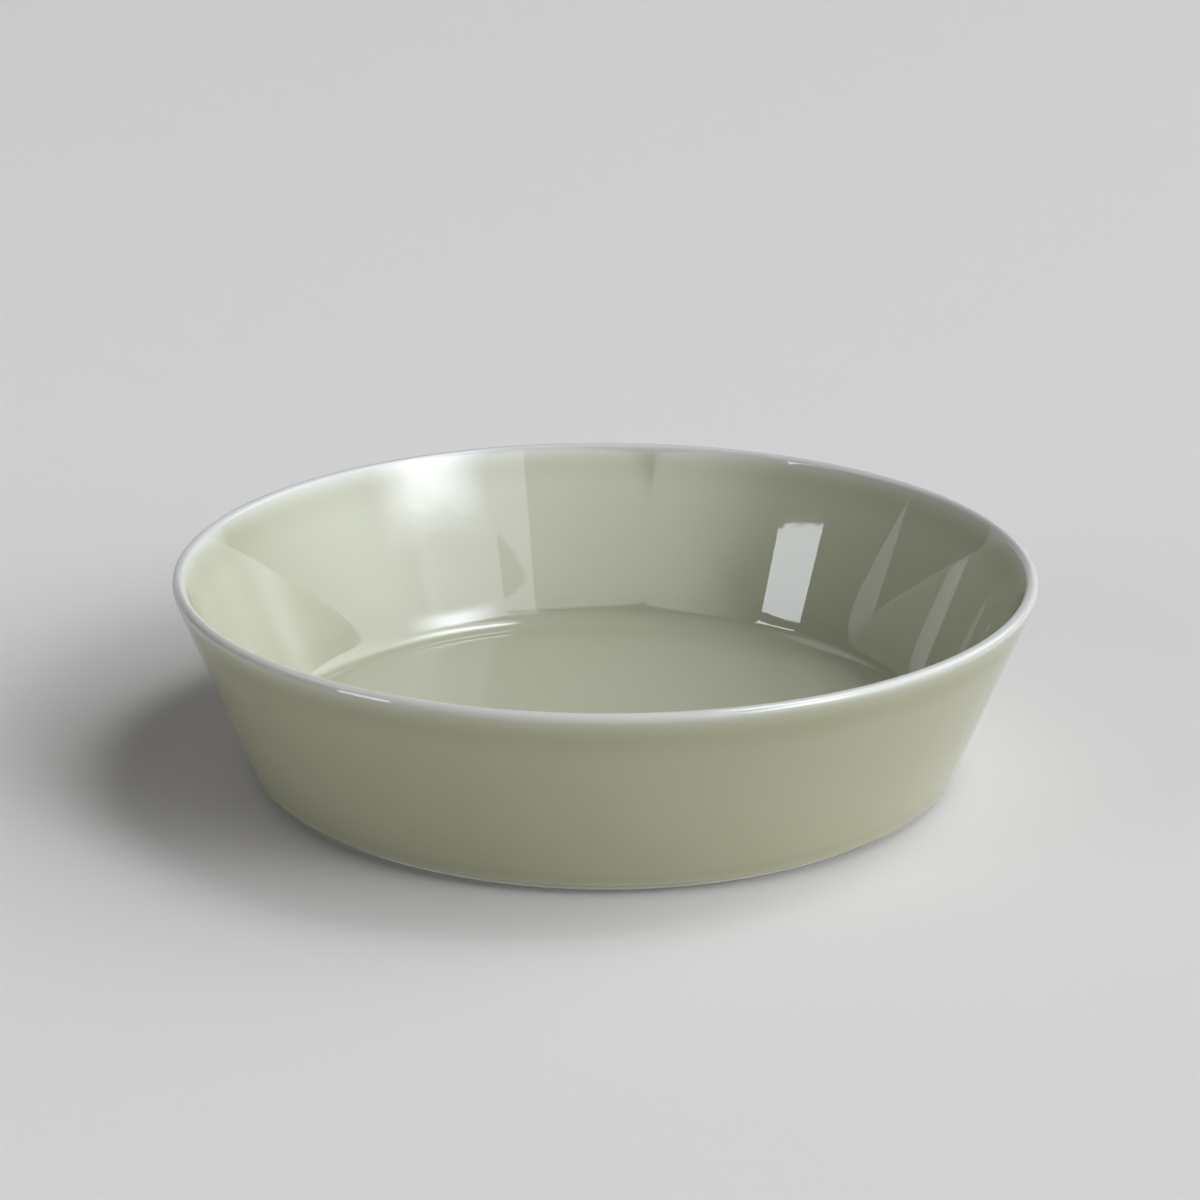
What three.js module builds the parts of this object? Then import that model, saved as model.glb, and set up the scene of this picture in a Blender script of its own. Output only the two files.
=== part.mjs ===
// Soup plate: a deep plate without a flat rim, in white porcelain under a grey-green glaze.
// A straight flared wall rises from a flat floor through a rounded cove to a full round lip.
// The glaze is a body of its own. It draws thin over the lip and the heel, gathers in a low roll
// beside them, and feathers out above the foot ring, which is wiped bare to stand in the kiln.
// Millimetres, +Z up. The origin is the middle of the foot ring, on the surface that it stands on.

import * as THREE from "three";

// Finished sizes, measured over the glaze
const RIM_DIAMETER = 210;
const HEIGHT = 50;
const HEEL_DIAMETER = 175;
const LIP_THICKNESS = 3.2;
const WALL_AT_FLOOR = 4.4;
const FLOOR_THICKNESS = 2.6;
const COVE_RADIUS = 6;
const HEEL_ROUND = 0.8;

// Foot ring: how far the heel stands above the table, and the ring that carries it
const FOOT_HEIGHT = 2.4;
const FOOT_SETBACK = 3.5;
const FOOT_WIDTH = 4;
const FOOT_ROUND = 0.6;
const FOOT_FILLET = 0.5;
const RECESS_DEPTH = 1.6;

// Glaze: its full depth, and for each edge the film left on it, the distance over which the coat
// grows to its full depth, and the extra depth of the roll that gathers there
const GLAZE_DEPTH = 0.3;
const LIP_EDGE = { film: 0.08, run: 6.5, roll: 0.06 };
const HEEL_EDGE = { film: 0.2, run: 2.5, roll: 0.03 };
const BARE_FOOT = 0.9;

// Facets: flats around the plate, and the most that a bend may stand off its flats
const SEGMENTS = 60;
const BEND_SAG = 0.05;
const SAME_POINT = 1e-6;

const rimRadius = RIM_DIAMETER / 2;
const lipRadius = LIP_THICKNESS / 2;
const heelRadius = HEEL_DIAMETER / 2;
const footOuter = heelRadius - FOOT_SETBACK;
const footInner = footOuter - FOOT_WIDTH;
const floorTop = RECESS_DEPTH + FLOOR_THICKNESS;

// A point of the section: its distance from the plate's axis and its height
const point = (radius, height) => new THREE.Vector2(radius, height);
const axisPoint = point(0, 0);

// Corners of the section. Both faces of the wall run into the round of the lip.
const lipCentre = point(rimRadius - lipRadius, HEIGHT - lipRadius);
const crest = point(lipCentre.x, HEIGHT);
const heel = point(heelRadius, FOOT_HEIGHT);
const outerLean = leanToLip(heel, 1);
const floorCorner = point(
  alongWall(heel, outerLean, floorTop).x - WALL_AT_FLOOR / Math.cos(outerLean),
  floorTop,
);
const innerLean = leanToLip(floorCorner, -1);
const outerTop = alongWall(heel, outerLean, HEIGHT);
const innerTop = alongWall(floorCorner, innerLean, HEIGHT);
const footTop = point(footOuter, FOOT_HEIGHT);
const footOuterEdge = point(footOuter, 0);
const footInnerEdge = point(footInner, 0);
const recessCorner = point(footInner, RECESS_DEPTH);
const floorCentre = point(0, floorTop);
const recessCentre = point(0, RECESS_DEPTH);

// How far from upright a face of the wall leans, from a corner up to the lip's round.
// The outer face passes the round on its outer side (1), the inner face on its inner side (-1).
function leanToLip(corner, side) {
  const reach = lipCentre.clone().sub(corner);
  return Math.atan2(reach.x, reach.y) + side * Math.asin(lipRadius / reach.length());
}

// The point of a leaning face at a given height
function alongWall(corner, lean, height) {
  return point(corner.x + (height - corner.y) * Math.tan(lean), height);
}

// A rounded corner as spots on the surface, each with its place and the way it faces.
// The section is walked with the clay on the right, so the surface faces left.
function bend(before, corner, after, radius) {
  const inward = corner.clone().sub(before).normalize();
  const onward = after.clone().sub(corner).normalize();
  const turn = Math.atan2(inward.cross(onward), inward.dot(onward));
  const side = Math.sign(turn);
  const facing = point(-inward.y, inward.x);
  const centre = corner
    .clone()
    .addScaledVector(inward, -radius * Math.tan(Math.abs(turn) / 2))
    .addScaledVector(facing, side * radius);
  const steps = Math.ceil(Math.abs(turn) / (2 * Math.acos(1 - BEND_SAG / radius)));
  return Array.from({ length: steps + 1 }, (_, i) => {
    const out = facing.clone().rotateAround(axisPoint, (turn * i) / steps);
    return { at: centre.clone().addScaledVector(out, -side * radius), out };
  });
}

// Adds to each spot of a run how far along the run it lies
function measured(run) {
  let travelled = 0;
  return run.map((spot, i) => {
    if (i > 0) travelled += spot.at.distanceTo(run[i - 1].at);
    return { ...spot, travelled };
  });
}

// Puts more spots on the straight stretches of a run, at the given distances along it
function marked(run, marks) {
  const added = marks.flatMap((mark) => {
    const next = run.findIndex((spot) => spot.travelled > mark);
    if (next < 1) return [];
    const [from, to] = [run[next - 1], run[next]];
    if (from.out.distanceTo(to.out) > SAME_POINT) return [];
    const share = (mark - from.travelled) / (to.travelled - from.travelled);
    return [{ at: from.at.clone().lerp(to.at, share), out: to.out, travelled: mark }];
  });
  return [...run, ...added].sort((a, b) => a.travelled - b.travelled);
}

// What an edge adds to the glaze's depth at a distance from it: less over the edge, more in the roll
function edgeEffect(edge, distance) {
  const share = Math.min(distance / edge.run, 2);
  const missing = (edge.film - GLAZE_DEPTH) * (1 - THREE.MathUtils.smoothstep(share, 0, 1));
  const gathered = (edge.roll * (1 - Math.cos(Math.PI * share))) / 2;
  return missing + gathered;
}

// Gives each spot of a run its depth of glaze. An edge has its place along the run.
function glazed(run, edges) {
  const marks = edges.flatMap((edge) => [-2, -1, 1, 2].map((k) => edge.place + k * edge.run));
  return marked(run, marks).map((spot) => {
    const effects = edges.map((edge) => edgeEffect(edge, Math.abs(spot.travelled - edge.place)));
    return { ...spot, glaze: effects.reduce((sum, effect) => sum + effect, GLAZE_DEPTH) };
  });
}

// The finished surface of a run, and the porcelain under its glaze
const finished = (run) => run.map((spot) => spot.at);
const porcelain = (run) => run.map((spot) => spot.at.clone().addScaledVector(spot.out, -spot.glaze));

// Turns an outline of the section about the plate's axis
function turned(outline) {
  const distinct = outline.filter(
    (p, i) => i === 0 || p.distanceTo(outline[i - 1]) > SAME_POINT,
  );
  return new THREE.LatheGeometry(distinct.reverse(), SEGMENTS).rotateX(Math.PI / 2);
}

// Inside: from the crest of the lip down the wall and round the cove to the middle of the floor
const up = point(0, 1);
const insideRun = measured(
  [
    { at: floorCentre, out: up },
    ...bend(floorCentre, floorCorner, innerTop, COVE_RADIUS),
    ...bend(floorCorner, innerTop, crest, lipRadius),
  ].reverse(),
);
const inside = glazed(insideRun, [{ ...LIP_EDGE, place: 0 }]).reverse();

// Outside: from the crest down the wall, round the heel and down the foot ring to its wipe line
const outward = point(1, 0);
const lipBend = bend(crest, outerTop, heel, lipRadius);
const heelBend = bend(outerTop, heel, footTop, HEEL_ROUND);
const outsideRun = measured([
  ...lipBend,
  ...heelBend,
  ...bend(heel, footTop, footOuterEdge, FOOT_FILLET),
  { at: point(footOuter, BARE_FOOT), out: outward },
]);
const heelStart = outsideRun[lipBend.length].travelled;
const heelEnd = outsideRun[lipBend.length + heelBend.length - 1].travelled;
const outside = glazed(outsideRun, [
  { ...LIP_EDGE, place: 0 },
  { ...HEEL_EDGE, place: (heelStart + heelEnd) / 2 },
]);
outside[outside.length - 1].glaze = 0;

// Foot ring: bare porcelain between the two wipe lines
const foot = [
  ...bend(footTop, footOuterEdge, footInnerEdge, FOOT_ROUND),
  ...bend(footOuterEdge, footInnerEdge, recessCorner, FOOT_ROUND),
];

// Underside: from the wipe line inside the foot ring to the middle of the recess
const recessRun = measured([
  { at: point(footInner, BARE_FOOT), out: outward.clone().negate() },
  ...bend(footInnerEdge, recessCorner, recessCentre, FOOT_FILLET),
  { at: recessCentre, out: up.clone().negate() },
]);
const underside = glazed(recessRun, []);
underside[0].glaze = 0;

const porcelainFinish = new THREE.MeshStandardMaterial({ color: 0xe9e8e2, roughness: 0.6 });
const glazeFinish = () => new THREE.MeshStandardMaterial({ color: 0xa4a792, roughness: 0.08 });

const plate = new THREE.Group();

function addPiece(name, outline, material) {
  const mesh = new THREE.Mesh(turned(outline), material);
  mesh.name = name;
  plate.add(mesh);
}

addPiece(
  "porcelain_body",
  [
    ...porcelain(inside),
    ...porcelain(outside),
    ...finished(foot),
    ...porcelain(underside),
  ],
  porcelainFinish,
);
addPiece("inside_glaze", [...finished(inside), ...porcelain(inside).reverse()], glazeFinish());
addPiece(
  "outside_glaze",
  [...finished(outside), ...porcelain(outside).reverse(), outside[0].at],
  glazeFinish(),
);
addPiece(
  "underside_glaze",
  [...porcelain(underside).reverse(), ...finished(underside)],
  glazeFinish(),
);

export default plate;
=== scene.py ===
# Soup plate: a deep plate in white porcelain under a grey-green glaze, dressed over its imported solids.
# Every piece is turned about the plate's axis by Geometry Nodes, from the corners of its section.
# The depth of the glaze is worked out along the section and kept on the mesh, where it tints the glaze.

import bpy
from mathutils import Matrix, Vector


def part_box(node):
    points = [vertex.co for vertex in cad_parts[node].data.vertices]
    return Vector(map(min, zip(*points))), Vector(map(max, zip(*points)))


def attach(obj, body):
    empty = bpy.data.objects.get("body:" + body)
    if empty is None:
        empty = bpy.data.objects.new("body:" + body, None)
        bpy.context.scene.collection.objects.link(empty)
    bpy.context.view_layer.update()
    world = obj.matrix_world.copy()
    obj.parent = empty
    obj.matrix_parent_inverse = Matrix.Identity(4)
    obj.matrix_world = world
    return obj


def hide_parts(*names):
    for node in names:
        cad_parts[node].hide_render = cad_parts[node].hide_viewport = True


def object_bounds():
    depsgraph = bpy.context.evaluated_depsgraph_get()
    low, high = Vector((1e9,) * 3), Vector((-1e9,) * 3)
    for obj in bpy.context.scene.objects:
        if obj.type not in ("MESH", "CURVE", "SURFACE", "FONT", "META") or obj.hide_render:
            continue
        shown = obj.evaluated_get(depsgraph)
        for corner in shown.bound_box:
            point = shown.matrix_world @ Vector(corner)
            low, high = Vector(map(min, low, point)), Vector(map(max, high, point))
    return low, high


bl_info = {
    "name": "Glazed Soup Plate",
    "version": (1, 0, 0),
    "blender": (4, 5, 0),
    "location": "View3D > Sidebar > Soup Plate",
    "description": "Builds a glazed porcelain soup plate over its packed solids, and its stage",
    "category": "Object",
}

import math

import bpy
from bpy.props import FloatProperty, FloatVectorProperty, IntProperty, PointerProperty
from mathutils import Matrix, Vector

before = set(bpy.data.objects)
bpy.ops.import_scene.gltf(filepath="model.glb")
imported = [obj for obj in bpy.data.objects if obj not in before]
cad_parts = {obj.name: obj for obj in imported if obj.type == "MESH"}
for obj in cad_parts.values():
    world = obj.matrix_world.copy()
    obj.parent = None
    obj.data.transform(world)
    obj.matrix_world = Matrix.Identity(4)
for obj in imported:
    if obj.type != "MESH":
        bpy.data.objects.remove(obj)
cad_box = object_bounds()

MM = 0.001
DEPTH_ATTRIBUTE = "glaze_depth"

# Points this close are one: on a turned piece, and where two stretches of the body meet
SAME_POINT = 0.001 * MM
SAME_RING = 0.02 * MM

# An edge stays sharp above this angle, a straight stretch has at most so many cuts, and the roll of
# glaze beside an edge ends after so many runs
SHARP_ANGLE = math.radians(35)
MOST_CUTS = 40
ROLL_RUNS = 2.0

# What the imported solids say: the rim, the crest of the lip, the floor, the recess and the wipe line
rim_radius = cad_box[1].x
plate_height = cad_box[1].z
crest_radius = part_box("inside_glaze")[1].x
coat_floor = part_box("inside_glaze")[0].z
coat_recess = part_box("underside_glaze")[1].z
wipe_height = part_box("outside_glaze")[0].z

GLAZE_DEPTH = 0.3 * MM


def length(name, description, default):
    """A property that holds a length."""
    return FloatProperty(
        name=name,
        description=description,
        default=default,
        min=0.0,
        precision=5,
        subtype="DISTANCE",
        unit="LENGTH",
    )


def colour(name, description, default):
    """A property that holds a colour."""
    return FloatVectorProperty(
        name=name,
        description=description,
        default=default,
        size=3,
        min=0.0,
        max=1.0,
        subtype="COLOR",
    )


def amount(name, description, default):
    """A property that holds a strength."""
    return FloatProperty(name=name, description=description, default=default, min=0.0)


class PlateSizes(bpy.types.PropertyGroup):
    """Sizes of the section, finished, over the glaze"""

    rim: length("Rim radius", "Radius of the plate at the outside of its lip", rim_radius)
    height: length("Height", "Height of the lip's crest above the table", plate_height)
    lip: length("Lip radius", "Radius of the full round of the lip", rim_radius - crest_radius)
    heel: length("Heel radius", "Radius where the wall turns in under the plate", 87.5 * MM)
    heel_round: length("Heel rounding", "Radius of the rounded heel", 0.8 * MM)
    wall: length("Wall at the floor", "Thickness of the wall where it leaves the floor", 4.4 * MM)
    floor: length("Floor height", "Height of the floor above the table", coat_floor + GLAZE_DEPTH)
    cove: length("Cove radius", "Radius of the bend from floor to wall", 6 * MM)
    foot_height: length("Foot height", "Height of the heel above the table", 2.4 * MM)
    foot_setback: length("Foot setback", "From the heel in to the foot ring", 3.5 * MM)
    foot_width: length("Foot width", "Width of the foot ring", 4 * MM)
    foot_round: length("Foot rounding", "Radius of the foot ring's bare edges", 0.6 * MM)
    foot_fillet: length("Foot fillet", "Radius where the foot ring meets the plate", 0.5 * MM)
    recess: length("Recess", "Depth of the hollow inside the foot ring", coat_recess - GLAZE_DEPTH)
    wipe: length("Wipe line", "Height up to which the foot ring is wiped bare", wipe_height)


class PlateGlaze(bpy.types.PropertyGroup):
    """How deep the glaze lies, in the open and by its edges"""

    depth: length("Glaze depth", "Depth of the glaze away from edges", GLAZE_DEPTH)
    lip_film: length("Lip film", "Depth of the film left on the crest of the lip", 0.08 * MM)
    lip_run: length("Lip run", "Distance over which the glaze thickens below the lip", 6.5 * MM)
    lip_roll: length("Lip roll", "Extra depth gathered below the lip", 0.06 * MM)
    heel_film: length("Heel film", "Depth of the film left on the heel", 0.2 * MM)
    heel_run: length("Heel run", "Distance over which the glaze thickens above the heel", 2.5 * MM)
    heel_roll: length("Heel roll", "Extra depth gathered above the heel", 0.03 * MM)
    fade: length("Wipe fade", "Distance over which the glaze feathers out at the wipe line", 1 * MM)
    pool: length("Pool depth", "Extra depth of the glaze towards the corner of the cove", 0.38 * MM)
    pool_run: length("Pool run", "Distance over which the pool in the cove falls off", 4 * MM)


class PlateFacets(bpy.types.PropertyGroup):
    """How finely the pieces are turned"""

    around: IntProperty(name="Facets around", description="Facets around the plate", default=240, min=24)
    bend: IntProperty(name="Steps in a bend", description="Steps in each rounded corner", default=20, min=2)
    row: length("Row step", "Longest step along a straight stretch of the section", 1.2 * MM)


class PlateColours(bpy.types.PropertyGroup):
    """Colours of the porcelain and of the glaze by its depth"""

    film: colour("Glaze film", "Thin glaze over white porcelain", (0.508, 0.506, 0.46))
    thin: colour("Thin glaze", "Glaze where it starts to tint", (0.475, 0.478, 0.413))
    # The inside and outside are one glaze in two copies: painted lighter and bluer inside, darker and
    # yellower outside, as painted light and shade
    full: colour("Full glaze", "Inside glaze at its usual depth", (0.415, 0.411, 0.309))
    pooled: colour("Pooled glaze", "Inside glaze where it gathers", (0.362, 0.36, 0.258))
    outer_full_shaded: colour("Outer glaze, painted darker", "Outside glaze at its usual depth", (0.39, 0.388, 0.263))
    outer_pooled_shaded: colour("Outer pooled glaze, painted darker", "Outside glaze in the roll by an edge", (0.33, 0.322, 0.208))
    speck: colour("Speck", "Small iron specks in the glaze", (0.2, 0.17, 0.1))
    bare: colour("Bare porcelain", "Porcelain of the wiped foot ring", (0.8, 0.79, 0.74))
    # Painted shade: the foot ring's bottom edge is painted greyer where it stands on the table
    contact_shade: colour("Porcelain in painted shade", "Porcelain greyed by use on the foot ring", (0.62, 0.6, 0.54))


class PlateStage(bpy.types.PropertyGroup):
    """Floor, light and camera"""

    floor: colour("Floor", "Colour of the floor and its backdrop", (0.585, 0.56, 0.53))
    world: amount("World light", "Strength of the even light all around", 0.06)
    softbox: amount("Softbox", "Brightness of the large softbox at the right", 2.8)
    near: amount("Near side", "Brightness of the softbox on its side by the camera", 3.5)
    glow: amount("Glow", "Brightness that the softbox's lamp adds behind its near side", 9.2)
    room: amount("Room", "Brightness of the pale room behind the camera", 1.8)
    window: amount("Window", "Brightness of the window at the front left", 7.2)
    far_window: amount("Far window", "Brightness of the narrow window at the left", 1.0)
    top: amount("Top light", "Brightness of the small lamp high at the right", 8.5)
    fill: amount("Fill", "Brightness of the large dim panel at the left", 1.0)
    daylight: colour("Daylight", "Colour of the light from the windows", (0.86, 0.91, 1.0))
    cool: colour("Cool white", "Colour of the light from the softbox", (0.885, 0.935, 1.0))
    lamp: colour("Lamp white", "Colour of the lamp in the softbox", (0.86, 0.88, 1.0))


# Sections

def lean_to_lip(corner, lip_centre, lip_radius, side):
    """Slope of a wall face, from a corner up to the outer (1) or inner (-1) side of the lip's round."""
    reach = lip_centre - corner
    return math.atan2(reach.x, reach.z) + side * math.asin(lip_radius / reach.length)


def along_wall(corner, lean, height):
    """The point of a leaning face at a given height."""
    return Vector((corner.x + (height - corner.z) * math.tan(lean), 0.0, height))


def measures(sizes, glaze):
    """Every corner of the section, and the lengths that shape it, by the names of the trees' inputs."""
    lip_centre = Vector((sizes.rim - sizes.lip, 0.0, sizes.height - sizes.lip))
    heel = Vector((sizes.heel, 0.0, sizes.foot_height))
    outer_lean = lean_to_lip(heel, lip_centre, sizes.lip, 1)
    wall_foot = along_wall(heel, outer_lean, sizes.floor)
    floor_corner = wall_foot - Vector((sizes.wall / math.cos(outer_lean), 0.0, 0.0))
    inner_lean = lean_to_lip(floor_corner, lip_centre, sizes.lip, -1)
    foot_outer = sizes.heel - sizes.foot_setback
    foot_inner = foot_outer - sizes.foot_width
    return {
        "Floor centre": Vector((0.0, 0.0, sizes.floor)),
        "Floor corner": floor_corner,
        "Wall top inside": along_wall(floor_corner, inner_lean, sizes.height),
        "Lip crest": Vector((lip_centre.x, 0.0, sizes.height)),
        "Wall top outside": along_wall(heel, outer_lean, sizes.height),
        "Heel": heel,
        "Foot top": Vector((foot_outer, 0.0, sizes.foot_height)),
        "Outer wipe line": Vector((foot_outer, 0.0, sizes.wipe)),
        "Foot outer edge": Vector((foot_outer, 0.0, 0.0)),
        "Foot inner edge": Vector((foot_inner, 0.0, 0.0)),
        "Inner wipe line": Vector((foot_inner, 0.0, sizes.wipe)),
        "Recess corner": Vector((foot_inner, 0.0, sizes.recess)),
        "Recess centre": Vector((0.0, 0.0, sizes.recess)),
        "Cove radius": sizes.cove,
        "Lip radius": sizes.lip,
        "Heel rounding": sizes.heel_round,
        "Foot fillet": sizes.foot_fillet,
        "Foot rounding": sizes.foot_round,
        "Glaze depth": glaze.depth,
        "Lip film": glaze.lip_film,
        "Lip run": glaze.lip_run,
        "Lip roll": glaze.lip_roll,
        "Heel film": glaze.heel_film,
        "Heel run": glaze.heel_run,
        "Heel roll": glaze.heel_roll,
        "Wipe fade": glaze.fade,
        "Pool depth": glaze.pool,
        "Pool run": glaze.pool_run,
    }


# The stretches of the section: their corners, how these are rounded, the edges that thin the glaze,
# the corner where it pools, the line where it is wiped off, and the side that faces out, left (1) or
# right (-1) of the walk
INSIDE = {
    "corners": ("Floor centre", "Floor corner", "Wall top inside", "Lip crest"),
    "rounds": {"Floor corner": "Cove radius", "Wall top inside": "Lip radius"},
    "edges": {"Lip crest": ("Lip film", "Lip run", "Lip roll")},
    "pool": "Floor corner",
    "wipe": None,
    "side": 1,
}
OUTSIDE = {
    "corners": ("Lip crest", "Wall top outside", "Heel", "Foot top", "Outer wipe line"),
    "rounds": {"Wall top outside": "Lip radius", "Heel": "Heel rounding", "Foot top": "Foot fillet"},
    "edges": {
        "Lip crest": ("Lip film", "Lip run", "Lip roll"),
        "Heel": ("Heel film", "Heel run", "Heel roll"),
    },
    "pool": None,
    "wipe": "Outer wipe line",
    "side": 1,
}
FOOT = {
    "corners": ("Outer wipe line", "Foot outer edge", "Foot inner edge", "Inner wipe line"),
    "rounds": {"Foot outer edge": "Foot rounding", "Foot inner edge": "Foot rounding"},
    "edges": {},
    "pool": None,
    "wipe": None,
    "side": 1,
}
UNDERSIDE = {
    "corners": ("Recess centre", "Recess corner", "Inner wipe line"),
    "rounds": {"Recess corner": "Foot fillet"},
    "edges": {},
    "pool": None,
    "wipe": "Inner wipe line",
    "side": -1,
}


# Building of node trees

def put(tree, socket, value):
    """Links a socket to another, or sets its value."""
    if isinstance(value, bpy.types.NodeSocket):
        tree.links.new(value, socket)
    else:
        socket.default_value = value


def add_node(tree, kind, inputs=None, **settings):
    """A new node with its settings, and its inputs by name or number."""
    made = tree.nodes.new(kind)
    for name, value in settings.items():
        setattr(made, name, value)
    for key, value in (inputs or {}).items():
        put(tree, made.inputs[key], value)
    return made


def calc(tree, operation, *values):
    """A sum on numbers."""
    return add_node(tree, "ShaderNodeMath", dict(enumerate(values)), operation=operation).outputs[0]


def vector_calc(tree, operation, *values):
    """A sum on vectors."""
    made = add_node(tree, "ShaderNodeVectorMath", dict(enumerate(values)), operation=operation)
    return made.outputs["Value" if operation in ("LENGTH", "DISTANCE", "DOT_PRODUCT") else "Vector"]


def scaled(tree, vector, factor):
    """A vector times a number."""
    made = add_node(tree, "ShaderNodeVectorMath", {0: vector, "Scale": factor}, operation="SCALE")
    return made.outputs["Vector"]


def spread(tree, value, low, high, to_low=0.0, to_high=1.0, smooth=False):
    """A value moved from one range to another, and held inside it."""
    kind = "SMOOTHSTEP" if smooth else "LINEAR"
    inputs = {0: value, 1: low, 2: high, 3: to_low, 4: to_high}
    return add_node(tree, "ShaderNodeMapRange", inputs, interpolation_type=kind).outputs[0]


def split(tree, vector):
    """The parts of a vector, by X, Y and Z."""
    return add_node(tree, "ShaderNodeSeparateXYZ", {0: vector}).outputs


def combined(tree, parts):
    """A vector from its parts."""
    return add_node(tree, "ShaderNodeCombineXYZ", parts).outputs[0]


def new_tree(name, kind, inputs, outputs):
    """A node group with named sockets, its inputs' sockets by name, and its output node."""
    tree = bpy.data.node_groups.new(name, kind)
    for side, sockets in (("INPUT", inputs), ("OUTPUT", outputs)):
        for socket_name, socket_kind in sockets.items():
            tree.interface.new_socket(socket_name, in_out=side, socket_type="NodeSocket" + socket_kind)
    given = tree.nodes.new("NodeGroupInput").outputs
    result = tree.nodes.new("NodeGroupOutput").inputs
    return tree, given, result


def use(tree, group, inputs=None):
    """A node that runs a group."""
    made = tree.nodes.new(tree.bl_idname.replace("Tree", "Group"))
    made.node_tree = group
    for key, value in (inputs or {}).items():
        put(tree, made.inputs[key], value)
    return made


# Geometry Nodes: outlines, glaze depth and turning

def position(tree):
    """Where each point is."""
    return tree.nodes.new("GeometryNodeInputPosition").outputs[0]


def kept_depth(tree):
    """The depth of the glaze that each point keeps."""
    return add_node(tree, "GeometryNodeInputNamedAttribute", {"Name": DEPTH_ATTRIBUTE}).outputs[0]


def keep_depth(tree, geometry, depth):
    """Geometry whose points keep the depth of the glaze, as a share of its usual depth."""
    inputs = {"Geometry": geometry, "Name": DEPTH_ATTRIBUTE, "Value": depth}
    kept = add_node(tree, "GeometryNodeStoreNamedAttribute", inputs, data_type="FLOAT", domain="POINT")
    return kept.outputs[0]


def sample(tree, kind, points, field, number):
    """What a field gives on one point of a row, by the point's number."""
    inputs = {"Geometry": points, "Value": field, "Index": number}
    taken = add_node(tree, "GeometryNodeSampleIndex", inputs, data_type=kind, domain="POINT", clamp=True)
    return taken.outputs[0]


def edge_group():
    """What an edge adds to the depth of the glaze: less over the edge, more in the roll beside it."""
    name = "Glaze at an edge"
    if name in bpy.data.node_groups:
        return bpy.data.node_groups[name]
    inputs = {"Edge": "Vector", "Depth": "Float", "Film": "Float", "Run": "Float", "Roll": "Float"}
    tree, given, result = new_tree(name, "GeometryNodeTree", inputs, {"Effect": "Float"})
    distance = vector_calc(tree, "DISTANCE", position(tree), given["Edge"])
    share = calc(tree, "MINIMUM", calc(tree, "DIVIDE", distance, given["Run"]), ROLL_RUNS)
    bare = spread(tree, share, 0.0, 1.0, 1.0, 0.0, smooth=True)
    missing = calc(tree, "MULTIPLY", calc(tree, "SUBTRACT", given["Film"], given["Depth"]), bare)
    swing = calc(tree, "COSINE", calc(tree, "MULTIPLY", share, math.pi))
    hump = calc(tree, "MULTIPLY_ADD", swing, -0.5, 0.5)
    gathered = calc(tree, "MULTIPLY", given["Roll"], hump)
    put(tree, result["Effect"], calc(tree, "ADD", missing, gathered))
    return tree


def turn_group():
    """Turns a row of points about the plate's axis, and closes the seam and the poles."""
    name = "Turn about the axis"
    if name in bpy.data.node_groups:
        return bpy.data.node_groups[name]
    inputs = {"Points": "Geometry", "Side": "Float", "Facets around": "Int"}
    tree, given, result = new_tree(name, "GeometryNodeTree", inputs, {"Mesh": "Geometry"})
    counted = add_node(
        tree, "GeometryNodeAttributeDomainSize", {0: given["Points"]}, component="POINTCLOUD"
    )
    rows = counted.outputs["Point Count"]
    grid = add_node(
        tree,
        "GeometryNodeMeshGrid",
        {
            "Size X": 1.0,
            "Size Y": 1.0,
            "Vertices X": calc(tree, "ADD", given["Facets around"], 1.0),
            "Vertices Y": rows,
        },
    )
    on_grid = split(tree, position(tree))
    height = calc(tree, "ADD", on_grid["Y"], 0.5)
    row = calc(tree, "ROUND", calc(tree, "MULTIPLY", height, calc(tree, "SUBTRACT", rows, 1.0)))
    corner = split(tree, sample(tree, "FLOAT_VECTOR", given["Points"], position(tree), row))
    depth = sample(tree, "FLOAT", given["Points"], kept_depth(tree), row)
    kept = keep_depth(tree, grid.outputs["Mesh"], depth)
    turn = calc(tree, "MULTIPLY", calc(tree, "ADD", on_grid["X"], 0.5), -2.0 * math.pi)
    turn = calc(tree, "MULTIPLY", turn, given["Side"])
    place = combined(
        tree,
        {
            "X": calc(tree, "MULTIPLY", corner["X"], calc(tree, "COSINE", turn)),
            "Y": calc(tree, "MULTIPLY", corner["X"], calc(tree, "SINE", turn)),
            "Z": corner["Z"],
        },
    )
    moved = add_node(tree, "GeometryNodeSetPosition", {"Geometry": kept, "Position": place})
    closed = add_node(
        tree, "GeometryNodeMergeByDistance", {"Geometry": moved.outputs[0], "Distance": SAME_POINT}
    )
    put(tree, result["Mesh"], closed.outputs[0])
    return tree


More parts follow.
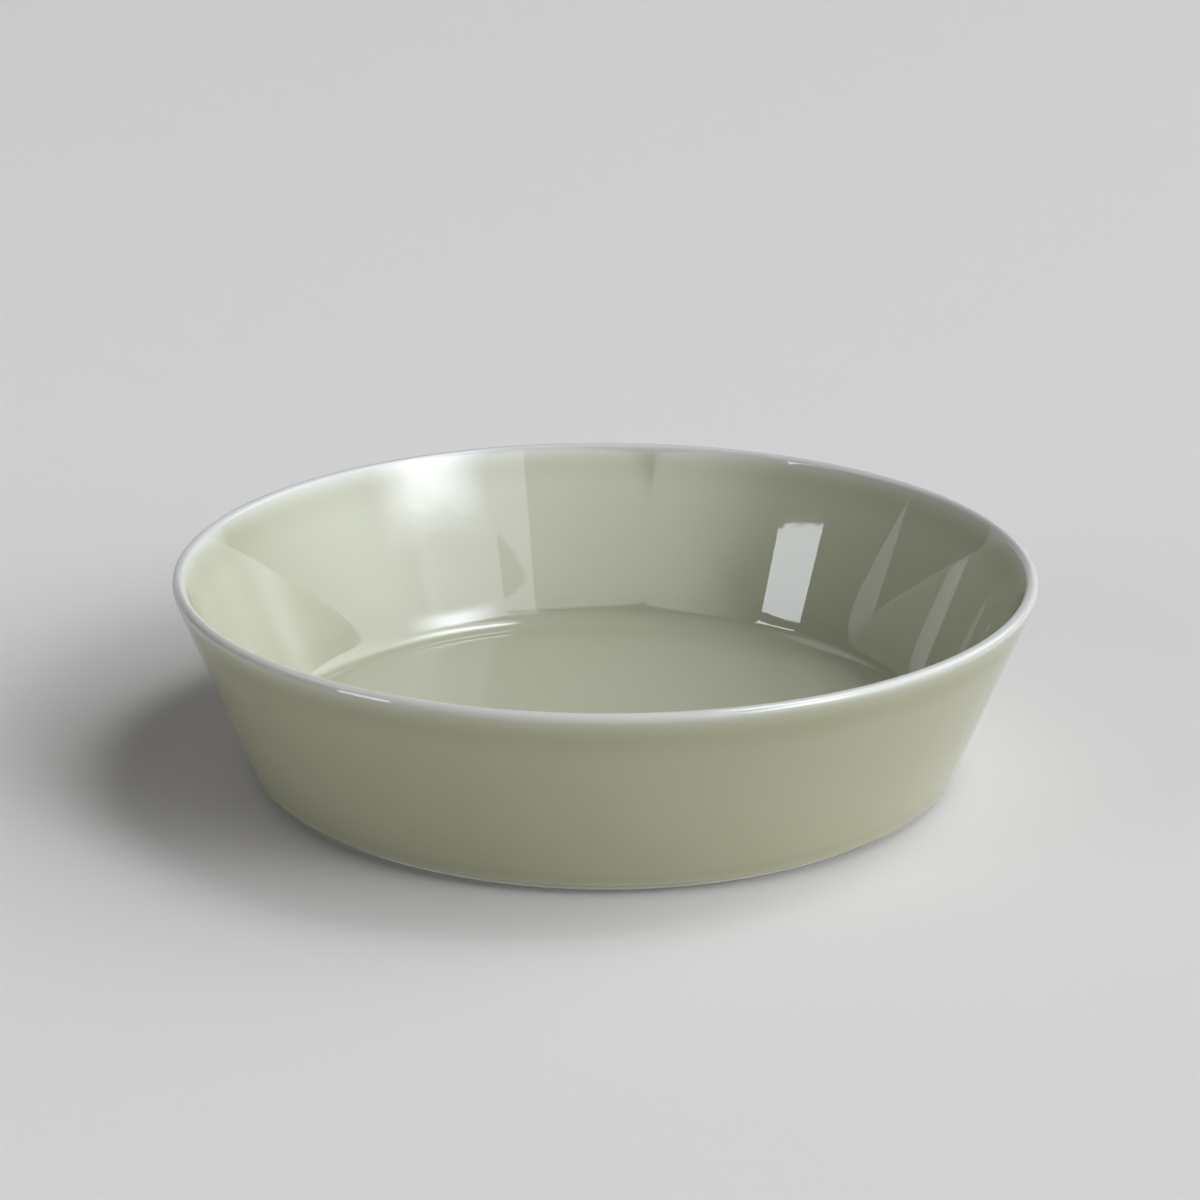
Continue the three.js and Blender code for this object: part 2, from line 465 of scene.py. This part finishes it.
def rounded_outline(tree, given, run):
    """A curve through the corners of a stretch, rounded and cut into rows."""
    corners = run["corners"]
    index = tree.nodes.new("GeometryNodeInputIndex").outputs[0]
    chosen = {}
    for kind in ("VECTOR", "FLOAT"):
        choice = add_node(tree, "GeometryNodeIndexSwitch", data_type=kind)
        while len(choice.index_switch_items) < len(corners):
            choice.index_switch_items.new()
        put(tree, choice.inputs[0], index)
        for i, corner in enumerate(corners):
            if kind == "VECTOR":
                put(tree, choice.inputs[i + 1], given[corner])
            elif corner in run["rounds"]:
                put(tree, choice.inputs[i + 1], given[run["rounds"][corner]])
        chosen[kind] = choice.outputs[0]
    line = add_node(tree, "GeometryNodeMeshLine", {"Count": len(corners)})
    placed = add_node(
        tree,
        "GeometryNodeSetPosition",
        {"Geometry": line.outputs[0], "Position": chosen["VECTOR"]},
    )
    curve = add_node(tree, "GeometryNodeMeshToCurve", {"Mesh": placed.outputs[0]})
    rounded = add_node(
        tree,
        "GeometryNodeFilletCurve",
        {"Curve": curve.outputs[0], "Count": given["Steps in a bend"], "Radius": chosen["FLOAT"]},
        mode="POLY",
    )
    here = position(tree)
    there = add_node(tree, "GeometryNodeFieldAtIndex", data_type="FLOAT_VECTOR", domain="POINT")
    put(tree, there.inputs["Value"], here)
    put(tree, there.inputs["Index"], calc(tree, "ADD", index, 1.0))
    stretch = vector_calc(tree, "DISTANCE", here, there.outputs[0])
    cuts = calc(tree, "FLOOR", calc(tree, "DIVIDE", stretch, given["Row step"]))
    rows = add_node(
        tree,
        "GeometryNodeSubdivideCurve",
        {"Curve": rounded.outputs[0], "Cuts": calc(tree, "MINIMUM", cuts, float(MOST_CUTS))},
    )
    return rows.outputs[0]


def glaze_depth(tree, given, run):
    """The depth of the glaze along a stretch."""
    depth = given["Glaze depth"]
    for edge, (film, roll_out, roll) in run["edges"].items():
        effect = use(
            tree,
            edge_group(),
            {
                "Edge": given[edge],
                "Depth": given["Glaze depth"],
                "Film": given[film],
                "Run": given[roll_out],
                "Roll": given[roll],
            },
        )
        depth = calc(tree, "ADD", depth, effect.outputs[0])
    if run["wipe"]:
        here = position(tree)
        distance = vector_calc(tree, "DISTANCE", here, given[run["wipe"]])
        depth = calc(tree, "MULTIPLY", depth, spread(tree, distance, 0.0, given["Wipe fade"]))
    return depth


def pool_depth(tree, given, run):
    """How far the glaze stands proud of its even depth where it pools in a corner."""
    here = position(tree)
    distance = vector_calc(tree, "DISTANCE", here, given[run["pool"]])
    runs = calc(tree, "DIVIDE", distance, given["Pool run"])
    left = calc(tree, "EXPONENT", calc(tree, "MULTIPLY", runs, -1.0))
    return calc(tree, "MULTIPLY", given["Pool depth"], left)


def glazed_points(tree, given, run):
    """Two rows of points along a stretch: on the finished face, and on the porcelain under the glaze."""
    curve = rounded_outline(tree, given, run)
    depth = glaze_depth(tree, given, run)
    pool = pool_depth(tree, given, run) if run["pool"] else 0.0
    share = calc(tree, "DIVIDE", calc(tree, "ADD", depth, pool), given["Glaze depth"])
    kept = keep_depth(tree, curve, share)
    onward = split(tree, tree.nodes.new("GeometryNodeInputTangent").outputs[0])
    inward = combined(tree, {"X": onward["Z"], "Z": calc(tree, "MULTIPLY", onward["X"], -1.0)})
    rows = []
    for way, height in ((-run["side"], pool), (run["side"], depth)):
        offset = scaled(tree, inward, calc(tree, "MULTIPLY", height, float(way)))
        moved = add_node(tree, "GeometryNodeSetPosition", {"Geometry": kept, "Offset": offset})
        points = add_node(tree, "GeometryNodeCurveToPoints", {"Curve": moved.outputs[0]}, mode="EVALUATED")
        rows.append(points.outputs[0])
    return rows


def closed_points(tree, face, under, ring):
    """The closed section of a coat: along its face, back along its underside, for a ring to its start."""
    counted = add_node(tree, "GeometryNodeAttributeDomainSize", {0: face}, component="POINTCLOUD")
    count = counted.outputs["Point Count"]
    twice = calc(tree, "MULTIPLY", count, 2.0)
    points = add_node(
        tree, "GeometryNodePoints", {"Count": calc(tree, "ADD", twice, 1.0 if ring else 0.0)}
    )
    index = tree.nodes.new("GeometryNodeInputIndex").outputs[0]
    step = calc(tree, "MODULO", index, twice)
    back = calc(tree, "SUBTRACT", calc(tree, "SUBTRACT", twice, 1.0), step)
    on_face = calc(tree, "LESS_THAN", step, count)
    found = {}
    for kind, switch_kind, field in (
        ("FLOAT_VECTOR", "VECTOR", position(tree)),
        ("FLOAT", "FLOAT", kept_depth(tree)),
    ):
        below = sample(tree, kind, under, field, back)
        above = sample(tree, kind, face, field, step)
        inputs = {0: on_face, 1: below, 2: above}
        found[kind] = add_node(tree, "GeometryNodeSwitch", inputs, input_type=switch_kind).outputs[0]
    placed = add_node(
        tree,
        "GeometryNodeSetPosition",
        {"Geometry": points.outputs[0], "Position": found["FLOAT_VECTOR"]},
    )
    return keep_depth(tree, placed.outputs[0], found["FLOAT"])


def turned(tree, given, points, side):
    """A row of points turned about the plate's axis."""
    inputs = {"Points": points, "Side": float(side), "Facets around": given["Facets around"]}
    return use(tree, turn_group(), inputs).outputs[0]


def piece_tree(name, runs):
    """A tree with an input for every size that its stretches use."""
    inputs = {}
    for run in runs:
        lengths = ["Glaze depth", *run["rounds"].values()]
        for values in run["edges"].values():
            lengths.extend(values)
        if run["pool"]:
            lengths.extend(("Pool depth", "Pool run"))
        if run["wipe"]:
            lengths.append("Wipe fade")
        inputs.update({corner: "Vector" for corner in run["corners"]})
        inputs.update({size: "Float" for size in lengths})
    inputs.update({"Row step": "Float", "Steps in a bend": "Int", "Facets around": "Int"})
    inputs["Material"] = "Material"
    return new_tree(name, "GeometryNodeTree", inputs, {"Piece": "Geometry"})


def finish_tree(tree, given, result, mesh):
    """Smooth faces with sharp edges where the section turns hard, and the material."""
    smooth = add_node(tree, "GeometryNodeSetShadeSmooth", {"Geometry": mesh}, domain="FACE")
    bend = tree.nodes.new("GeometryNodeInputMeshEdgeAngle").outputs[0]
    sharp = add_node(
        tree,
        "GeometryNodeSetShadeSmooth",
        {
            "Geometry": smooth.outputs[0],
            "Selection": calc(tree, "GREATER_THAN", bend, SHARP_ANGLE),
            "Shade Smooth": False,
        },
        domain="EDGE",
    )
    real = add_node(tree, "GeometryNodeRealizeInstances", {"Geometry": sharp.outputs[0]})
    dressed = add_node(
        tree,
        "GeometryNodeSetMaterial",
        {"Geometry": real.outputs[0], "Material": given["Material"]},
    )
    put(tree, result["Piece"], dressed.outputs[0])


def coat_tree(name, run, ring):
    """A coat of glaze, as a closed body with a face and an underside."""
    tree, given, result = piece_tree(name, [run])
    face, under = glazed_points(tree, given, run)
    mesh = turned(tree, given, closed_points(tree, face, under, ring), run["side"])
    finish_tree(tree, given, result, mesh)
    return tree


def body_tree(name):
    """The porcelain: its face under the three coats, and its bare foot ring."""
    tree, given, result = piece_tree(name, [INSIDE, OUTSIDE, FOOT, UNDERSIDE])
    joined = tree.nodes.new("GeometryNodeJoinGeometry")
    for run in (INSIDE, OUTSIDE, FOOT, UNDERSIDE):
        face, under = glazed_points(tree, given, run)
        points = face if run is FOOT else under
        put(tree, joined.inputs[0], turned(tree, given, points, run["side"]))
    closed = add_node(
        tree, "GeometryNodeMergeByDistance", {"Geometry": joined.outputs[0], "Distance": SAME_RING}
    )
    finish_tree(tree, given, result, closed.outputs[0])
    return tree


def make_piece(name, tree, material):
    """Runs a tree with the plate's sizes, and keeps the result as a plain mesh."""
    scene = bpy.context.scene
    values = measures(scene.plate_sizes, scene.plate_glaze)
    facets = scene.plate_facets
    values.update(
        {
            "Row step": facets.row,
            "Steps in a bend": facets.bend,
            "Facets around": facets.around,
            "Material": material,
        }
    )
    piece = bpy.data.objects.new(name, bpy.data.meshes.new(name))
    scene.collection.objects.link(piece)
    modifier = piece.modifiers.new("Turned section", "NODES")
    modifier.node_group = tree
    for item in tree.interface.items_tree:
        if item.in_out == "INPUT":
            modifier[item.identifier] = values[item.name]
    seen = piece.evaluated_get(bpy.context.evaluated_depsgraph_get())
    mesh = bpy.data.meshes.new_from_object(seen)
    piece.modifiers.remove(modifier)
    piece.data = mesh
    mesh.name = name
    if not mesh.polygons:
        raise RuntimeError(f"{name} came out empty")
    return piece


# Shader groups

# The share of the height that streaks follow, the solid share of a speck, and the usual span of a noise
STREAK_DRIFT = 0.06
SPECK_CORE = 0.4
NOISE_SPAN = (0.3, 0.7)


def object_place(tree):
    """Where on the plate a point of the surface lies."""
    return tree.nodes.new("ShaderNodeTexCoord").outputs["Object"]


def noise(tree, vector, scale, detail=2.0, roughness=0.5):
    """A smooth random value around 0.5."""
    inputs = {"Vector": vector, "Scale": scale, "Detail": detail, "Roughness": roughness}
    return add_node(tree, "ShaderNodeTexNoise", inputs).outputs[0]


def flow_group():
    """How a glaze flowed: clouds of tint, streaks down the wall, and ripples of its face."""
    name = "Glaze flow"
    if name in bpy.data.node_groups:
        return bpy.data.node_groups[name]
    inputs = {"Cloud size": "Float", "Streak width": "Float", "Ripple size": "Float"}
    outputs = {"Clouds": "Float", "Streaks": "Float", "Ripples": "Float"}
    tree, given, result = new_tree(name, "ShaderNodeTree", inputs, outputs)
    place = object_place(tree)
    parts = split(tree, place)
    flat = combined(tree, {"X": parts["X"], "Y": parts["Y"]})
    around = scaled(tree, vector_calc(tree, "NORMALIZE", flat), rim_radius)
    drift = combined(tree, {"Z": calc(tree, "MULTIPLY", parts["Z"], STREAK_DRIFT)})
    down = vector_calc(tree, "ADD", around, drift)
    for effect, size, vector, detail, roughness in (
        ("Clouds", "Cloud size", place, 3.0, 0.5),
        ("Streaks", "Streak width", down, 3.0, 0.6),
        ("Ripples", "Ripple size", place, 2.0, 0.5),
    ):
        scale = calc(tree, "DIVIDE", 1.0, given[size])
        put(tree, result[effect], noise(tree, vector, scale, detail, roughness))
    return tree


def speck_group():
    """Small specks, scattered at random: a mask with one round spot in a few cells."""
    name = "Kiln specks"
    if name in bpy.data.node_groups:
        return bpy.data.node_groups[name]
    tree, given, result = new_tree(
        name, "ShaderNodeTree", {"Spacing": "Float", "Speck size": "Float"}, {"Specks": "Float"}
    )
    scale = calc(tree, "DIVIDE", 1.0, given["Spacing"])
    cells = add_node(tree, "ShaderNodeTexVoronoi", {"Vector": object_place(tree), "Scale": scale})
    distance = calc(tree, "MULTIPLY", cells.outputs["Distance"], given["Spacing"])
    half = calc(tree, "MULTIPLY", given["Speck size"], 0.5)
    core = calc(tree, "MULTIPLY", half, SPECK_CORE)
    put(tree, result["Specks"], spread(tree, distance, core, half, 1.0, 0.0, smooth=True))
    return tree


# Materials

# Sockets of a node that mixes colours
MIX_FIRST = 6
MIX_SECOND = 7
MIX_RESULT = 2

# Shares of the usual depth at which the glaze has its four colours, and the span of the ramp
FILM_DEPTH = 0.27
THIN_DEPTH = 0.42
FULL_DEPTH = 0.75
POOLED_DEPTH = 1.22
DEPTH_SPAN = 1.3

# The glaze: its sheen, the share of the wall's height above which it is painted paler as a painted sheen,
# and its marks
GLAZE_IOR = 1.58
GLAZE_ROUGHNESS = (0.01, 0.03)
SHEEN_START = 0.3
GLAZE_FLOW = {"Cloud size": 14 * MM, "Streak width": 2.2 * MM, "Ripple size": 5 * MM}
GLAZE_SPECKS = {"Spacing": 16 * MM, "Speck size": 0.5 * MM}
GLAZE_SPECK_TINT = 0.7

# How each side flowed: how much paler a painted sheen makes its top, how strongly clouds and streaks tint
# it, its ripples
INNER_FLOW = {"painted_sheen": 0.13, "clouds": 0.12, "streaks": 0.03, "ripples": 0.006 * MM}
OUTER_FLOW = {"painted_sheen": 0.0, "clouds": 0.1, "streaks": 0.06, "ripples": 0.008 * MM}

# The bare porcelain: its sheen, the size of its blotches and the height of the painted shade where it
# stands on the table, its marks and its grain
BARE_ROUGHNESS = (0.5, 0.7)
BLOTCH_SIZE = 6 * MM
CONTACT_SHADE_HEIGHT = 0.4 * MM
BARE_SPECKS = {"Spacing": 5 * MM, "Speck size": 0.35 * MM}
BARE_SPECK_TINT = 0.5
GRAIN_SIZE = 0.4 * MM
GRAIN_DEPTH = 0.02 * MM
GRAIN_STRENGTH = 0.6


def new_material(name):
    """A material with only its output and a Principled shader, and the tree to build in."""
    material = bpy.data.materials.new(name)
    material.use_nodes = True
    tree = material.node_tree
    tree.nodes.clear()
    shader = tree.nodes.new("ShaderNodeBsdfPrincipled")
    output = tree.nodes.new("ShaderNodeOutputMaterial")
    tree.links.new(shader.outputs[0], output.inputs[0])
    return material, tree, shader


def ramp(tree, value, stops):
    """A colour ramp through stops of a place and a colour."""
    made = add_node(tree, "ShaderNodeValToRGB", {0: value})
    elements = made.color_ramp.elements
    while len(elements) < len(stops):
        elements.new(0.5)
    for element, (place, tint) in zip(elements, stops):
        element.position = place
        element.color = (*tint, 1.0)
    return made.outputs[0]


def mix_colour(tree, factor, first, second):
    """A colour between two."""
    inputs = {"Factor": factor, MIX_FIRST: first, MIX_SECOND: second}
    return add_node(tree, "ShaderNodeMix", inputs, data_type="RGBA").outputs[MIX_RESULT]


def add_bump(tree, shader, height, distance, strength=1.0):
    """Raises a surface by a height, over a distance."""
    made = add_node(tree, "ShaderNodeBump", {"Height": height, "Distance": distance, "Strength": strength})
    put(tree, shader.inputs["Normal"], made.outputs[0])


def glaze_material(name, full, pooled, painted_sheen, clouds, streaks, ripples):
    """Glossy glaze: white where it is thin over the lip, greener where it lies deep, and painted paler
    towards the top of the wall as a painted sheen.
    """
    colours = bpy.context.scene.plate_colours
    material, tree, shader = new_material(name)
    flow = use(tree, flow_group(), GLAZE_FLOW).outputs
    depth = add_node(tree, "ShaderNodeAttribute", attribute_name=DEPTH_ATTRIBUTE).outputs["Fac"]
    for source, strength in (("Clouds", clouds), ("Streaks", streaks)):
        swing = calc(tree, "MULTIPLY", calc(tree, "SUBTRACT", flow[source], 0.5), strength)
        depth = calc(tree, "ADD", depth, swing)
    height = split(tree, object_place(tree))["Z"]
    # Painted sheen: the glaze is painted paler towards the top of the inside wall
    sheen_paling = spread(tree, height, SHEEN_START * plate_height, plate_height, 0.0, painted_sheen)
    share = calc(tree, "DIVIDE", calc(tree, "SUBTRACT", depth, sheen_paling), DEPTH_SPAN)
    tint = ramp(
        tree,
        share,
        [
            (FILM_DEPTH / DEPTH_SPAN, colours.film),
            (THIN_DEPTH / DEPTH_SPAN, colours.thin),
            (FULL_DEPTH / DEPTH_SPAN, full),
            (POOLED_DEPTH / DEPTH_SPAN, pooled),
        ],
    )
    specks = use(tree, speck_group(), GLAZE_SPECKS).outputs[0]
    tint = mix_colour(tree, calc(tree, "MULTIPLY", specks, GLAZE_SPECK_TINT), tint, (*colours.speck, 1.0))
    put(tree, shader.inputs["Base Color"], tint)
    put(tree, shader.inputs["Roughness"], spread(tree, flow["Clouds"], *NOISE_SPAN, *GLAZE_ROUGHNESS))
    shader.inputs["IOR"].default_value = GLAZE_IOR
    add_bump(tree, shader, flow["Ripples"], ripples)
    return material


def porcelain_material(name):
    """Bare fired porcelain: matte and white, with painted shade greying it in blotches where it stands on
    the table.
    """
    colours = bpy.context.scene.plate_colours
    material, tree, shader = new_material(name)
    place = object_place(tree)
    height = split(tree, place)["Z"]
    blotches = noise(tree, place, 1.0 / BLOTCH_SIZE, detail=4.0, roughness=0.65)
    # Painted shade: greyer in blotches at the bottom of the foot ring, where it meets the table
    contact_shading = calc(tree, "MULTIPLY", spread(tree, height, 0.0, CONTACT_SHADE_HEIGHT, 1.0, 0.0), blotches)
    tint = mix_colour(tree, contact_shading, (*colours.bare, 1.0), (*colours.contact_shade, 1.0))
    specks = use(tree, speck_group(), BARE_SPECKS).outputs[0]
    tint = mix_colour(tree, calc(tree, "MULTIPLY", specks, BARE_SPECK_TINT), tint, (*colours.speck, 1.0))
    put(tree, shader.inputs["Base Color"], tint)
    put(tree, shader.inputs["Roughness"], spread(tree, blotches, *NOISE_SPAN, *BARE_ROUGHNESS))
    add_bump(tree, shader, noise(tree, place, 1.0 / GRAIN_SIZE), GRAIN_DEPTH, GRAIN_STRENGTH)
    return material


# Operators

class PLATE_OT_porcelain(bpy.types.Operator):
    """Makes the fired porcelain body with its bare foot ring"""

    bl_idname = "plate.porcelain"
    bl_label = "Porcelain body"

    def execute(self, context):
        body = make_piece("fired_body", body_tree("Porcelain body"), porcelain_material("Bare porcelain"))
        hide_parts("porcelain_body")
        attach(body, "root")
        return {"FINISHED"}


class PLATE_OT_glaze(bpy.types.Operator):
    """Makes the three coats of glaze: inside, outside and underside"""

    bl_idname = "plate.glaze"
    bl_label = "Coats of glaze"

    def execute(self, context):
        tints = context.scene.plate_colours
        # One glaze in two copies, painted lighter inside and darker outside as painted light and shade; the
        # underside takes the darker copy
        inner = glaze_material("Celadon inside, painted lighter", tints.full, tints.pooled, **INNER_FLOW)
        outer = glaze_material("Celadon outside, painted darker", tints.outer_full_shaded, tints.outer_pooled_shaded, **OUTER_FLOW)
        for node, run, ring, material in (
            ("inside_glaze", INSIDE, False, inner),
            ("outside_glaze", OUTSIDE, True, outer),
            ("underside_glaze", UNDERSIDE, False, outer),
        ):
            words = node.split("_")
            coat = make_piece("_".join(reversed(words)), coat_tree(" ".join(words), run, ring), material)
            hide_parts(node)
            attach(coat, "root")
        return {"FINISHED"}


# The stage: its floor and backdrop, how far off its lamps stand, and its camera
FLOOR_HALF = 4.0
BACKDROP_HEIGHT = 1.4
FLOOR_ROUGHNESS = 0.8
LAMP_REACH = 10.0
CAMERA_LENS = 90.0
CAMERA_SENSOR = 36.0
CAMERA_ELEVATION = math.radians(19.059)
CAMERA_ROLL = math.radians(0.115)
CAMERA_REACH = 736.57 * MM
CAMERA_TARGET = Vector((-1.233 * MM, 0.0, 39.726 * MM))


def facing(azimuth, elevation):
    """A direction seen from the plate: azimuth from the camera's side towards +X, elevation upwards."""
    flat = math.cos(elevation)
    return Vector((math.sin(azimuth) * flat, -math.cos(azimuth) * flat, math.sin(elevation)))


def aimed(back, roll=0.0):
    """Axes of a thing that looks along -back, as the columns of a matrix."""
    right = Vector((0.0, 0.0, 1.0)).cross(back).normalized()
    up = back.cross(right)
    turn = Matrix.Rotation(roll, 3, back)
    return Matrix((turn @ right, turn @ up, back)).transposed()


def add_lamp(name, azimuths, elevations, brightness, tint=(1.0, 1.0, 1.0), soft=(), roll=0.0):
    """A far upright lamp between two azimuths and two elevations, in degrees, with edges that may fade."""
    west, east = (math.radians(value) for value in azimuths)
    low, high = (LAMP_REACH * math.tan(math.radians(value)) for value in elevations)
    data = bpy.data.lights.new(name, "AREA")
    data.shape = "RECTANGLE"
    data.size = 2.0 * LAMP_REACH * math.tan((east - west) / 2)
    data.size_y = high - low
    data.energy = brightness * math.pi * data.size * data.size_y
    data.color = tint
    if soft:
        fade_edges(data, soft)
    lamp = bpy.data.objects.new(name, data)
    back = facing((west + east) / 2, 0.0)
    place = back * LAMP_REACH + Vector((0.0, 0.0, (low + high) / 2))
    lamp.matrix_world = Matrix.Translation(place) @ aimed(back, math.radians(roll)).to_4x4()
    bpy.context.scene.collection.objects.link(lamp)


def fade_edges(data, soft):
    """Dims a lamp towards its left, right, lower and upper edge, each over a share of its face."""
    data.use_nodes = True
    tree = data.node_tree
    across = tree.nodes.new("ShaderNodeNewGeometry").outputs["Parametric"]
    face = split(tree, across)
    reach = []
    for place in (face["X"], face["Y"]):
        reach.extend((place, calc(tree, "SUBTRACT", 1.0, place)))
    strength = 1.0
    for distance, share in zip(reach, soft):
        if share:
            strength = calc(tree, "MULTIPLY", strength, spread(tree, distance, 0.0, share, smooth=True))
    put(tree, tree.nodes["Emission"].inputs["Strength"], strength)


class PLATE_OT_stage(bpy.types.Operator):
    """Makes the floor with its backdrop, the studio light and the camera"""

    bl_idname = "plate.stage"
    bl_label = "Stage"

    def execute(self, context):
        scene = context.scene
        stage = scene.plate_stage
        mesh = bpy.data.meshes.new("floor")
        profile = ((-FLOOR_HALF, 0.0), (FLOOR_HALF, 0.0), (FLOOR_HALF, BACKDROP_HEIGHT))
        spots = [(x, y, z) for y, z in profile for x in (-FLOOR_HALF, FLOOR_HALF)]
        mesh.from_pydata(spots, [], [(0, 1, 3, 2), (2, 3, 5, 4)])
        floor = bpy.data.objects.new("floor", mesh)
        scene.collection.objects.link(floor)
        material, _, shader = new_material("Pale floor")
        shader.inputs["Base Color"].default_value = (*stage.floor, 1.0)
        shader.inputs["Roughness"].default_value = FLOOR_ROUGHNESS
        mesh.materials.append(material)

        world = bpy.data.worlds.new("Even light")
        world.use_nodes = True
        background = world.node_tree.nodes["Background"]
        background.inputs["Color"].default_value = (1.0, 1.0, 1.0, 1.0)
        background.inputs["Strength"].default_value = stage.world
        scene.world = world

        wide = (0.11, 0.3, 0.075, 0.3)
        add_lamp("softbox", (57, 145), (5, 76), stage.softbox, stage.cool, soft=wide)
        add_lamp("softbox_low", (52, 80), (4, 13), stage.near, stage.cool)
        near = (0.0, 0.3, 0.15, 0.3)
        add_lamp("softbox_near", (36, 65.7), (8, 46), stage.near, stage.cool, soft=near)
        add_lamp("softbox_edge", (25, 36), (25.7, 45), stage.near - stage.room, stage.cool)
        glow = (0.5, 0.5, 0.036, 0.5)
        add_lamp("glow", (39, 82), (22.6, 52), stage.glow, stage.lamp, soft=glow, roll=-13)
        add_lamp("top", (80, 130), (48, 77), stage.top, stage.cool, soft=(0.4, 0.4, 0.3, 0.3))
        add_lamp("room_left", (-60, -15), (23.5, 31), stage.room, soft=(0.9, 0.0, 0.2, 0.2))
        add_lamp("room_right", (-15, 36), (23.5, 31), stage.room, soft=(0.0, 0.0, 0.2, 0.2))
        add_lamp("fill", (-140, -80), (35, 60), stage.fill, soft=(0.3, 0.3, 0.3, 0.3))
        add_lamp("window", (-70.6, -55.4), (3, 22.1), stage.window, stage.daylight, roll=10.4)
        add_lamp("window_top", (-73, -57), (25.4, 31), stage.window, stage.daylight)
        add_lamp("far_window", (-99, -90), (9, 15.2), stage.far_window, stage.daylight)

        data = bpy.data.cameras.new("camera")
        data.lens = CAMERA_LENS
        data.sensor_width = CAMERA_SENSOR
        camera = bpy.data.objects.new("camera", data)
        back = facing(0.0, CAMERA_ELEVATION)
        place = Matrix.Translation(CAMERA_TARGET + back * CAMERA_REACH)
        camera.matrix_world = place @ aimed(back, CAMERA_ROLL).to_4x4()
        scene.collection.objects.link(camera)
        scene.camera = camera
        scene.view_settings.view_transform = "Standard"
        return {"FINISHED"}


class PLATE_PT_panel(bpy.types.Panel):
    """Sizes, colours and steps of the soup plate"""

    bl_idname = "PLATE_PT_panel"
    bl_label = "Soup Plate"
    bl_space_type = "VIEW_3D"
    bl_region_type = "UI"
    bl_category = "Soup Plate"

    def draw(self, context):
        layout = self.layout
        for operator in (PLATE_OT_porcelain, PLATE_OT_glaze, PLATE_OT_stage):
            layout.operator(operator.bl_idname)
        for name in SETTINGS:
            group = getattr(context.scene, name)
            box = layout.box()
            box.label(text=group.bl_rna.description)
            for field in group.__annotations__:
                box.prop(group, field)


SETTINGS = {
    "plate_sizes": PlateSizes,
    "plate_glaze": PlateGlaze,
    "plate_facets": PlateFacets,
    "plate_colours": PlateColours,
    "plate_stage": PlateStage,
}
CLASSES = (*SETTINGS.values(), PLATE_OT_porcelain, PLATE_OT_glaze, PLATE_OT_stage, PLATE_PT_panel)


def register():
    for made in CLASSES:
        bpy.utils.register_class(made)
    for name, group in SETTINGS.items():
        setattr(bpy.types.Scene, name, PointerProperty(type=group))


def unregister():
    for name in SETTINGS:
        delattr(bpy.types.Scene, name)
    for made in reversed(CLASSES):
        bpy.utils.unregister_class(made)


def main():
    register()
    bpy.ops.plate.stage()
    bpy.ops.plate.porcelain()
    bpy.ops.plate.glaze()


if __name__ == "__main__":
    main()
